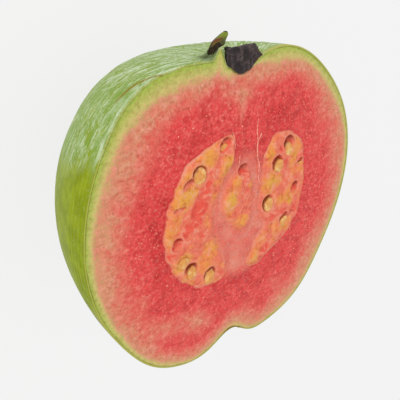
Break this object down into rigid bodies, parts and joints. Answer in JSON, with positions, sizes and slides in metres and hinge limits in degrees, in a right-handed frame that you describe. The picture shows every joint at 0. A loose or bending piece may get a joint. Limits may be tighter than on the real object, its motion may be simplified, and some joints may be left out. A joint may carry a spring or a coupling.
{
  "type": "cut guava half",
  "caption": "Half of a ripe pink guava, cut lengthways from calyx to stem, resting on its rounded green skin with the seeded cut face up.",
  "frame": {"origin": "middle of the small flat spot on the skin that the half rests on", "axes": "+Z out of the cut face, +Y towards the calyx along the fruit's own axis, +X to the right across the cut face"},
  "size_m": [0.0797, 0.0773, 0.048],
  "materials": {
    "flesh_and_skin": null,
    "dry_calyx": null,
    "dry_sepal": null
  },
  "bodies": {
    "root": {"guava_half": "flesh_and_skin", "calyx": "dry_calyx", "sepal": "dry_sepal"}
  },
  "joints": []
}
